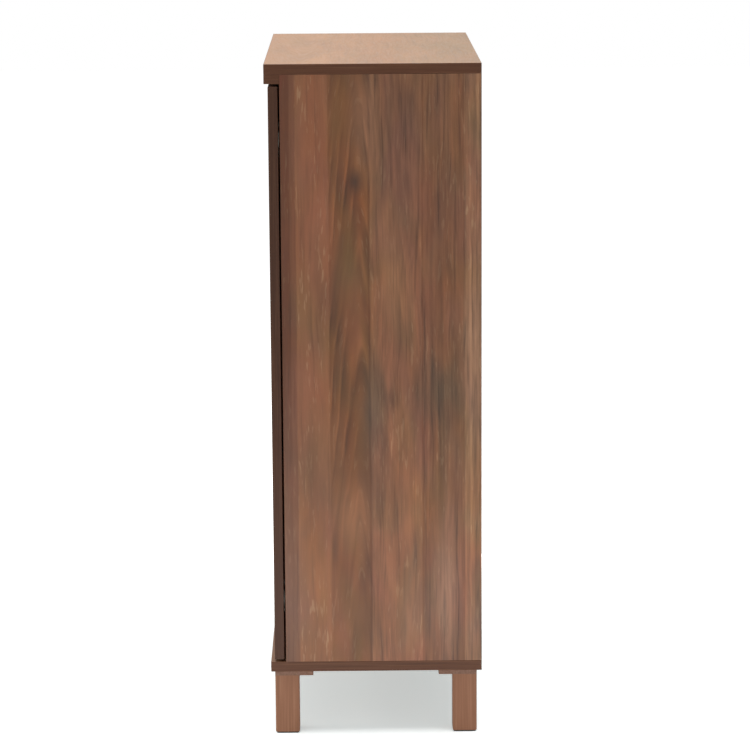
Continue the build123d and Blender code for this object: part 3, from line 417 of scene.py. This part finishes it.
# Painted sheen on the top: a golden tint over all of it, paler in front and browner at the rear.
top_painted_sheen_and_tones = [(0.000, 0.000, 2.000, 4.000, "7E6038", 0.20), (-0.110, 0.000, 0.200, 2.000, "9C7858", 0.22),
              (0.140, 0.000, 0.160, 2.000, "6A5C3E", 0.30)]
side_face = walnut("walnut_laminate_sides", "Y", "Z", sheet_start=-0.165, shift=-0.003, gloss=0.34,
                   stains_and_painted_light=side_stains)
door_face = walnut("walnut_laminate_doors", "X", "Z", sheet_start=-0.420, shift=0.006, gloss=0.34,
                   evenness=0.4, stains_and_painted_light=door_stains)
top_face = walnut("walnut_laminate_top", "Y", "X", sheet_start=-0.250, shift=0.009, gloss=0.28,
                  evenness=0.9, contrast=0.45, stains_and_painted_light=top_painted_sheen_and_tones)
print("laminates with stains:", side_face.name, door_face.name, top_face.name)

# %% [markdown]
# ## Edge bands
# A board's sawn edges are covered by a strip of plastic tape with a darker, plainer walnut print. A
# second object for each strip would be a lot of work, so the faces of a board simply get one material
# and its edges another. The streaks run along the edge, so they change only through the thickness.

# %% Edge band for boards that are thin along one axis
# Most of a noise lies between 0.28 and 0.72, so the dark, middle and light colours go there.
STREAK_STOPS = (0.28, 0.5, 0.72)


def streaked(name, thin_axes, width_mm, length_mm, colours, **constants):
    """A print or a wood with straight streaks: narrow along the thin axes and long along the others."""

    def finish(material):
        scale = [1000 / (width_mm if axis in thin_axes else length_mm) for axis in "XYZ"]
        coords = add_node(material, "TexCoord").outputs["Object"]
        place = add_node(material, "Mapping", {"Vector": coords, "Scale": scale})
        streaks = add_node(material, "TexNoise", {"Vector": place, "Scale": 1.0, "Detail": 4.0})
        stops = list(zip(STREAK_STOPS, colours))
        return {"Base Color": add_node(material, "ValToRGB", {0: streaks}, stops=stops),
                "Roughness": add_node(material, "MapRange", {"Value": streaks, "To Min": 0.36,
                                                             "To Max": 0.54}),
                "Normal": add_node(material, "Bump", {"Height": streaks, "Strength": 0.08,
                                                      "Distance": 3e-4})}

    return new_material(name, finish, **constants)


# Printed PVC tape: dark and plain, with a soft shine along it. The doors' tape is darker still, and that
# extra darkness is painted shade, for the shade that the top's overhang casts on the doors' edges.
TAPE = ("4A2D1D", "583725", "684632")
DOOR_TAPE_WITH_PAINTED_SHADE = ("392216", "452A1C", "523727")
TAPE_PRINT = {"width_mm": 2.2, "length_mm": 160, "Specular_IOR_Level": 0.2}
side_edge = streaked("walnut_edge_band_sides", "X", colours=TAPE, **TAPE_PRINT)
door_edge = streaked("walnut_edge_band_doors_with_painted_shade", "Y", colours=DOOR_TAPE_WITH_PAINTED_SHADE, **TAPE_PRINT)
flat_edge = streaked("walnut_edge_band_flat_boards", "Z", colours=TAPE, **TAPE_PRINT)
print("edge bands:", side_edge.name, door_edge.name, flat_edge.name)

# %% Dress the boards
# A face belongs to a large side of its board when its normal lies this squarely along the thin axis.
SQUARE_ON = 0.99


def dress_board(name, thin_axis, face, edge):
    """Gives a board its laminate on the two large faces and its edge band everywhere else."""
    mesh = nodes[name].data
    mesh.materials.clear()
    mesh.materials.append(face)
    mesh.materials.append(edge)
    axis = "XYZ".index(thin_axis)
    for polygon in mesh.polygons:
        polygon.material_index = 0 if abs(polygon.normal[axis]) > SQUARE_ON else 1


side_boards = ["left_side_panel", "right_side_panel"]
door_boards = ["left_door", "right_door"]
loose_shelves = [name for name in nodes if name.startswith("loose_shelf")]
flat_boards = ["bottom_panel", "fixed_shelf"] + loose_shelves
for name in side_boards:
    dress_board(name, "X", side_face, side_edge)
for name in door_boards:
    dress_board(name, "Y", door_face, door_edge)
for name in flat_boards:
    dress_board(name, "Z", flat_face, flat_edge)
dress_board("top_panel", "Z", top_face, flat_edge)
dress_board("top_front_strip", "Y", flat_edge, flat_edge)
boards = side_boards + door_boards + flat_boards + ["top_panel", "top_front_strip"]
print("boards with edge bands:", len(boards))

# %% [markdown]
# ## Legs, metal and plastic
# The legs are solid beech, stained to go with the laminate but lighter and with only a fine straight
# grain. The hinges are pressed steel with black nickel, the screws are zinc plated, the cam discs
# are cast zinc alloy, and the glides and the catch are matt moulded plastic. Each wood is streaked along
# its grain, and one function with a few values gives all the metals and plastics their slight unevenness.

# %% Beech
# Stained beech: even, a little lighter than the boards, with fine streaks along the grain. The plates
# above the legs took less stain and look greyer. The dowels are bare, so they are pale.
STAINED = ("805740", "8A6048", "976D54")
GREYER = ("6F5142", "7B5B4B", "876858")
BARE = ("C49A6C", "D0AA7C", "DDB98C")
STAINED_GRAIN = {"width_mm": 3.0, "length_mm": 130, "Specular_IOR_Level": 0.2}
leg_wood = streaked("stained_beech_legs", "XY", colours=STAINED, **STAINED_GRAIN)
plate_wood = streaked("stained_beech_plates", "YZ", colours=GREYER, **STAINED_GRAIN)
dowel_wood = streaked("plain_beech_dowels", "XY", width_mm=1.5, length_mm=60, colours=BARE)
print("beech:", leg_wood.name, plate_wood.name, dowel_wood.name)

# %% Hardboard, metals and plastics
# The clouds are CLOUD_SIZE times as wide as the specks and give CLOUD_SHARE of the colour. The grain of
# plating and moulding is far below 1 mm and is drawn as 1 to 3 mm, to show at all.
CLOUD_SIZE = 20
CLOUD_SHARE = 0.2
GLOSS_CHANGE = 0.06


def speckled(name, dark, light, speck_mm, roughness, **constants):
    """A surface whose colour and gloss vary in specks and slow clouds, as on plating or fibreboard."""

    def finish(material):
        coords = add_node(material, "TexCoord").outputs["Object"]
        specks = add_node(material, "TexNoise", {"Vector": coords, "Scale": 1000 / speck_mm, "Detail": 2.0})
        clouds = add_node(material, "TexNoise", {"Vector": coords, "Detail": 2.0,
                                                 "Scale": 1000 / (CLOUD_SIZE * speck_mm)})
        tone = add_node(material, "Mix", {0: CLOUD_SHARE, 2: specks, 3: clouds})
        colour = add_node(material, "ValToRGB", {0: tone}, stops=[(0.35, dark), (0.65, light)])
        gloss = add_node(material, "MapRange", {"Value": specks, "To Min": roughness - GLOSS_CHANGE,
                                                "To Max": roughness + GLOSS_CHANGE})
        return {"Base Color": colour, "Roughness": gloss}

    return new_material(name, finish, **constants)


# Pressed wood fibre: matt and brown. Its fibres are drawn three times as coarse, to show on the back.
hardboard = speckled("brown_hardboard", "6A5240", "866B54", 5.0, 0.70)
# Black nickel over pressed steel: a dark warm metal with soft reflections.
nickel = speckled("black_nickel_plated_steel", "4E4A46", "645F59", 3.0, 0.42, Metallic=1.0)
# Zinc over steel: brighter and bluer, with a slight bloom.
zinc = speckled("zinc_plated_steel", "B4B8BC", "CBCED1", 2.0, 0.32, Metallic=1.0)
# Cast zinc alloy: a duller grey with a fine grain from the mould.
cast_zinc = speckled("cast_zinc_alloy", "9EA0A2", "B7B8BA", 1.2, 0.42, Metallic=1.0)
# Polyethylene: nearly black, and waxy rather than shiny.
glide_plastic = speckled("dark_moulded_polyethylene", "171412", "221E1B", 0.9, 0.60)
# Moulded plastic in a brown to go with the boards, with a fine matt texture.
catch_plastic = speckled("brown_moulded_abs", "3F2A20", "4B3428", 0.9, 0.48)
# Sintered ferrite: charcoal grey and matt, like a stone.
ferrite = speckled("ferrite_magnet", "2B2B2D", "38383A", 0.7, 0.55)
print("metals:", nickel.name, zinc.name, cast_zinc.name)

# %% Dress the other pieces
# The first ending that fits a piece's name gives its finish. The hinges, their pins and the strike
# plates fit none but the last, which is empty.
FINISHES = [("_leg", leg_wood), ("_leg_plate", plate_wood), ("wood_dowels", dowel_wood),
            ("cam_locks", cast_zinc), ("_glide", glide_plastic), ("catch_housing", catch_plastic),
            ("catch_magnets", ferrite), ("screws", zinc), ("screw", zinc), ("bolts", zinc),
            ("shelf_pins", zinc), ("", nickel)]
other_pieces = sorted(set(nodes) - set(boards) - {"back_panel"})
for name in other_pieces:
    finish = next(material for ending, material in FINISHES if name.endswith(ending))
    nodes[name].data.materials.clear()
    nodes[name].data.materials.append(finish)

# The back is printed paper on its inner face and bare hardboard behind.
dress_board("back_panel", "Y", door_face, hardboard)
for polygon in nodes["back_panel"].data.polygons:
    polygon.material_index = 0 if polygon.normal.y < -SQUARE_ON else 1
print("other pieces with a finish:", len(other_pieces) + 1)

# %% [markdown]
# ## Screws
# Every screw that shows has a cross recess, which the plain CAD solids leave out. The wood screws have
# a flat head that sinks into its hole, and the hinge arms have machine screws with a rounded head.
# Each kind is modelled once, upright with the seat of its head at the origin, and copied to its places.
# The recess could be drawn with many small faces in edit mode. A boolean modifier with a cross-shaped
# cutter is quicker and leaves the rest of the head clean.

# %% Pick edges or faces in edit mode
# Two places nearer than this are the same place.
HAIR = 0.00001


def pick(kind, test):
    """Selects the edges or faces whose middle passes a test."""
    bpy.ops.mesh.select_mode(type=kind)
    bpy.ops.mesh.select_all(action="DESELECT")
    mesh = bmesh.from_edit_mesh(bpy.context.object.data)
    for part in mesh.edges if kind == "EDGE" else mesh.faces:
        part.select_set(test(sum((v.co for v in part.verts), Vector()) / len(part.verts)))
    bmesh.update_edit_mesh(bpy.context.object.data)


def extrude(*way):
    """Extrudes what is selected."""
    bpy.ops.mesh.extrude_region_move(TRANSFORM_OT_translate={"value": way})


print("mode before modelling:", bpy.context.mode)

# %% Cut the cross recess
RECESS_SPAN = 0.0042
RECESS_WIDTH = 0.0010
RECESS_DEPTH = 0.0013
RECESS_TAPER = 0.55
CUTTER_ABOVE = 0.0004


def cut_recess(screw, top):
    """Sinks a tapered cross into the head of a screw, whose top is at a given height."""
    bpy.ops.object.select_all(action="DESELECT")
    bpy.ops.mesh.primitive_plane_add(size=RECESS_WIDTH, location=(0.0, 0.0, top + CUTTER_ABOVE))
    cutter = bpy.context.object
    bpy.ops.object.transform_apply(location=True, rotation=True, scale=True)
    bpy.ops.object.mode_set(mode="EDIT")
    # Each edge of the middle square is drawn out to an arm of the cross.
    arm = (RECESS_SPAN - RECESS_WIDTH) / 2
    for way in (Vector((1, 0, 0)), Vector((-1, 0, 0)), Vector((0, 1, 0)), Vector((0, -1, 0))):
        pick("EDGE", lambda middle: (middle - RECESS_WIDTH / 2 * way).xy.length < HAIR)
        extrude(*(arm * way))
    bpy.ops.mesh.select_all(action="SELECT")
    extrude(0.0, 0.0, -RECESS_DEPTH - CUTTER_ABOVE)
    bpy.ops.transform.resize(value=(RECESS_TAPER, RECESS_TAPER, 1.0))
    bpy.ops.mesh.select_all(action="SELECT")
    bpy.ops.mesh.normals_make_consistent(inside=False)
    bpy.ops.object.mode_set(mode="OBJECT")

    modifier = screw.modifiers.new("cross_recess", "BOOLEAN")
    modifier.operation = "DIFFERENCE"
    modifier.object = cutter
    bpy.context.view_layer.objects.active = screw
    bpy.ops.object.modifier_apply(modifier=modifier.name)
    bpy.data.objects.remove(cutter)


print("cross recess:", 1000 * RECESS_SPAN, "mm across and", 1000 * RECESS_DEPTH, "mm deep")

# %% The flat-head wood screw
POINT_SCALE = 0.12
RIM_BEVEL = 0.00015


def model_wood_screw(length, radius=0.0017, head_radius=0.0034, head_height=0.0018, tip=0.003):
    """A cone for the head, drawn down into a shank with a point, with a narrow rim round the top."""
    bpy.ops.object.select_all(action="DESELECT")
    bpy.ops.mesh.primitive_cone_add(vertices=32, radius1=radius, radius2=head_radius, depth=head_height,
                                    location=(0.0, 0.0, -head_height / 2))
    screw = bpy.context.object
    bpy.ops.object.transform_apply(location=True, rotation=True, scale=True)
    bpy.ops.object.mode_set(mode="EDIT")
    pick("FACE", lambda middle: middle.z < HAIR - head_height)
    extrude(0.0, 0.0, head_height + tip - length)
    extrude(0.0, 0.0, -tip)
    bpy.ops.transform.resize(value=(POINT_SCALE, POINT_SCALE, 1.0))
    pick("EDGE", lambda middle: middle.z > -HAIR)
    bpy.ops.mesh.bevel(offset=RIM_BEVEL, segments=2)
    bpy.ops.object.mode_set(mode="OBJECT")
    cut_recess(screw, top=0.0)
    return screw


short_screw = model_wood_screw(length=0.013)
long_screw = model_wood_screw(length=0.020)
print("wood screw:", [round(1000 * d, 2) for d in short_screw.dimensions], "mm")

# %% The round-head machine screw


def model_arm_screw(length=0.0053, radius=0.0025, head_radius=0.0039, head_height=0.0020):
    """A short cylinder with a rounded top, and a shank drawn out of its lower face."""
    bpy.ops.object.select_all(action="DESELECT")
    bpy.ops.mesh.primitive_cylinder_add(vertices=32, radius=head_radius, depth=head_height,
                                        location=(0.0, 0.0, head_height / 2))
    screw = bpy.context.object
    bpy.ops.object.transform_apply(location=True, rotation=True, scale=True)
    bpy.ops.object.mode_set(mode="EDIT")
    pick("EDGE", lambda middle: middle.z > head_height - HAIR)
    bpy.ops.mesh.bevel(offset=head_height / 2, segments=5)
    pick("FACE", lambda middle: middle.z < HAIR)
    bpy.ops.mesh.inset(thickness=head_radius - radius)
    extrude(0.0, 0.0, -length)
    bpy.ops.object.mode_set(mode="OBJECT")
    cut_recess(screw, top=head_height)
    return screw


arm_screw = model_arm_screw()
print("arm screw:", [round(1000 * d, 2) for d in arm_screw.dimensions], "mm")

# %% Where the screws go
# Each place is a point and the way that the head faces, in metres from the floor under the middle. The
# screws of the hinges are measured from the middle of each hinge, those of the leg plates from a
# plate's outer corner, and the others stand to the left and the right of the cabinet's middle.
CUP_SCREWS = {"from_middle": 0.2845, "y": -0.1430, "rises": (-0.0225, 0.0225)}
PLATE_SCREWS = {"from_middle": 0.2972, "y": -0.1045, "rises": (-0.016, 0.016)}
ARM_SCREWS = [{"from_middle": 0.2919, "y": y, "rises": (0.0,)} for y in (-0.1175, -0.0915)]
LEG_PLATE_SCREWS = ((0.049, 0.049), (0.049, 0.012667), (0.012667, 0.049))
STRIKE_SCREW = (0.0135, -0.1428, 0.5625)
CATCH_SCREW = (0.0275, -0.1179, 0.566)
cup_boxes = (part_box("left_lower_hinge_cup"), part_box("left_upper_hinge_cup"))
HINGE_LEVELS = [(low.z + high.z) / 2 for low, high in cup_boxes]
IN = {"left": Vector((1, 0, 0)), "right": Vector((-1, 0, 0))}
REAR = Vector((0, 1, 0))
DOWN = Vector((0, 0, -1))


def hinge_places(side, facing, from_middle, y, rises):
    """Places at both hinges of one side, at heights above and below the middle of each hinge."""
    x = -IN[side].x * from_middle
    return [(Vector((x, y, level + rise)), facing) for level in HINGE_LEVELS for rise in rises]


def leg_plate_places():
    """Three places under each leg plate, measured from the plate's outer corner."""
    places = []
    for node in [name for name in nodes if name.endswith("_leg_plate")]:
        low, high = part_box(node)
        corner_x, in_x = (low.x, 1) if "left" in node else (high.x, -1)
        corner_y, in_y = (low.y, 1) if "front" in node else (high.y, -1)
        for x, y in LEG_PLATE_SCREWS:
            places.append((Vector((corner_x + in_x * x, corner_y + in_y * y, low.z)), DOWN))
    return places


print("hinge levels:", [round(level, 5) for level in HINGE_LEVELS])

# %% Put the screws in
TURN_DEGREES = 37
SMOOTH_DEGREES = 35


def put_in(node, screw, places, body):
    """Copies a screw to its places, each turned a little differently, as one piece for a CAD node."""
    bpy.ops.object.select_all(action="DESELECT")
    for number, (point, facing) in enumerate(places):
        copy = screw.copy()
        copy.data = screw.data.copy()
        bpy.context.scene.collection.objects.link(copy)
        spin = Matrix.Rotation(math.radians(TURN_DEGREES * number), 4, "Z")
        upright = Vector((0, 0, 1)).rotation_difference(facing).to_matrix().to_4x4()
        copy.data.transform(Matrix.Translation(point) @ upright @ spin)
        copy.select_set(True)
        bpy.context.view_layer.objects.active = copy
    if len(places) > 1:
        bpy.ops.object.join()
    piece = bpy.context.object
    piece.name = "cross_head_" + node
    bpy.ops.object.shade_smooth_by_angle(angle=math.radians(SMOOTH_DEGREES))
    piece.data.materials.clear()
    piece.data.materials.append(zinc)
    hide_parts(node)
    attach(piece, body)
    # The first and the seventh corner of a bounding box are its lowest and its highest.
    corners = [Vector(corner) for corner in piece.bound_box]
    drift = max((corners[0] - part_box(node)[0]).length, (corners[6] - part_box(node)[1]).length)
    print(piece.name, "off by", round(1000 * drift, 3), "mm")


plate_places = []
arm_places = []
for side, inward in IN.items():
    put_in(side + "_cup_screws", short_screw, hinge_places(side, REAR, **CUP_SCREWS), side + "_door_leaf")
    strike_x, strike_y, strike_z = STRIKE_SCREW
    strike = (Vector((-inward.x * strike_x, strike_y, strike_z)), REAR)
    put_in(side + "_strike_screw", short_screw, [strike], side + "_door_leaf")
    plate_places += hinge_places(side, inward, **PLATE_SCREWS)
    for arm_screws in ARM_SCREWS:
        arm_places += hinge_places(side, inward, **arm_screws)
put_in("hinge_plate_screws", short_screw, plate_places, "carcass")
put_in("hinge_arm_screws", arm_screw, arm_places, "carcass")
catch_x, catch_y, catch_z = CATCH_SCREW
catch_places = [(Vector((x, catch_y, catch_z)), DOWN) for x in (-catch_x, catch_x)]
put_in("catch_screws", short_screw, catch_places, "carcass")
put_in("leg_plate_screws", long_screw, leg_plate_places(), "carcass")
for pattern in (short_screw, long_screw, arm_screw):
    bpy.data.objects.remove(pattern)

# %% [markdown]
# ## Floor, light and camera
# The cabinet stands on a wide white floor under a white sky, as in a catalogue picture. A floor that is
# only painted white would render grey round the cabinet, and more light on it would wash out the wood.
# So the floor also glows a little wherever it is looked at or mirrored, coolly under the cabinet and
# more and whiter with the distance, until it is as white as the sky and no horizon shows. The glow
# lights nothing, and the shadow under the cabinet stays. A large soft lamp overhead makes the top
# lighter than the sides, a low one on each side stands for the reflectors that lift the lower part,
# and a weak one in front reaches behind open doors.

# %% What the eye sees of floor and sky
SEEING_RAYS = ("Is Camera Ray", "Is Glossy Ray", "Is Transmission Ray")


def looked_at(material):
    """1 for what the camera sees directly, in a mirror or through glass, and 0 for what only lights."""
    rays = add_node(material, "LightPath").outputs
    seen = rays[SEEING_RAYS[0]]
    for kind in SEEING_RAYS[1:]:
        seen = add_node(material, "Math", {0: seen, 1: rays[kind]}, operation="MAXIMUM")
    return seen


print("rays that see the glow:", SEEING_RAYS)

# %% Floor
FLOOR_SIZE = 24.0
GLOW_NEAR, GLOW_FAR = 0.44, 0.70
bpy.ops.object.select_all(action="DESELECT")
bpy.ops.mesh.primitive_plane_add(size=FLOOR_SIZE)
floor = bpy.context.object
floor.name = "floor"
floor_paint = bpy.data.materials.new("white_studio_floor")
floor_paint.use_nodes = True
floor_paint.node_tree.nodes.clear()
paint = add_node(floor_paint, "BsdfDiffuse", {"Color": linear("F0F0EF")})
place = add_node(floor_paint, "TexCoord").outputs["Object"]
distance = add_node(floor_paint, "VectorMath", {0: place}, operation="LENGTH").outputs["Value"]
far = add_node(floor_paint, "MapRange", {"Value": distance, "From Min": 0.4, "From Max": 1.0},
               interpolation_type="SMOOTHSTEP")
hue = add_node(floor_paint, "Mix", {0: far, 6: linear("EEFBFC"), 7: linear("FFFFFF")}, data_type="RGBA")
glow = add_node(floor_paint, "MapRange", {"Value": far, "To Min": GLOW_NEAR, "To Max": GLOW_FAR})
glow = add_node(floor_paint, "Math", {0: glow, 1: looked_at(floor_paint)}, operation="MULTIPLY")
white = add_node(floor_paint, "Emission", {"Color": hue.outputs[2], "Strength": glow})
lit_floor = add_node(floor_paint, "AddShader", {0: paint, 1: white})
add_node(floor_paint, "OutputMaterial", {"Surface": lit_floor})
floor.data.materials.append(floor_paint)
print("floor", floor.dimensions[:2])

# %% Sky
SKY_LIGHT, SKY_SEEN = 0.40, 1.0
scene = bpy.context.scene
world = bpy.data.worlds.new("white_studio")
world.use_nodes = True
world.node_tree.nodes.clear()
scene.world = world
strength = add_node(world, "MapRange", {"Value": looked_at(world), "To Min": SKY_LIGHT, "To Max": SKY_SEEN})
sky = add_node(world, "Background", {"Color": linear("FFFFFF"), "Strength": strength})
add_node(world, "OutputWorld", {"Surface": sky})
scene.view_settings.view_transform = "Standard"
print("sky", scene.world.name)

# %% Lamps


def soft_box(name, place, target, width, height, watts):
    """A rectangular soft lamp that points from one place to another."""
    lamp = bpy.data.lights.new(name, "AREA")
    lamp.shape = "RECTANGLE"
    lamp.size = width
    lamp.size_y = height
    lamp.energy = watts
    holder = bpy.data.objects.new(name, lamp)
    scene.collection.objects.link(holder)
    holder.location = place
    holder.rotation_euler = (Vector(target) - Vector(place)).to_track_quat("-Z", "Y").to_euler()
    return holder


soft_box("overhead_soft_box", (0.0, 0.0, 3.4), (0.0, 0.0, 0.0), width=2.8, height=2.8, watts=130)
for name, x in (("right_low_reflector", 0.85), ("left_low_reflector", -0.85)):
    soft_box(name, (x, 0.0, 0.05), (0.0, 0.0, 0.20), width=1.6, height=0.10, watts=1.55)
front = soft_box("front_soft_box", (0.0, -3.2, 1.3), (0.0, 0.0, 0.55), width=1.8, height=1.8, watts=30)
# From behind, its reflection would bleach the top.
front.visible_glossy = False

# %% Camera
# It stands 4.9 m off the right side, 1.4 m above the floor, and looks slightly down with a long lens.
# The turns are in radians, and the lens and the sensor in millimetres.
CAMERA_PLACE = (4.8768, -0.0334, 1.4292)
CAMERA_LENS = 144.83
SENSOR_WIDTH = 36.0
PITCH, YAW, ROLL = 0.18537, 0.00748, -0.00668
camera_data = bpy.data.cameras.new("camera")
camera_data.sensor_width = SENSOR_WIDTH
camera_data.lens = CAMERA_LENS
camera = bpy.data.objects.new("camera", camera_data)
scene.collection.objects.link(camera)
aim = Euler((math.pi / 2 - PITCH, 0.0, math.pi / 2 - YAW)).to_matrix().to_4x4()
camera.matrix_world = Matrix.Translation(CAMERA_PLACE) @ aim @ Matrix.Rotation(ROLL, 4, "Z")
scene.camera = camera
print("camera", CAMERA_PLACE, "lens", CAMERA_LENS, "mm")
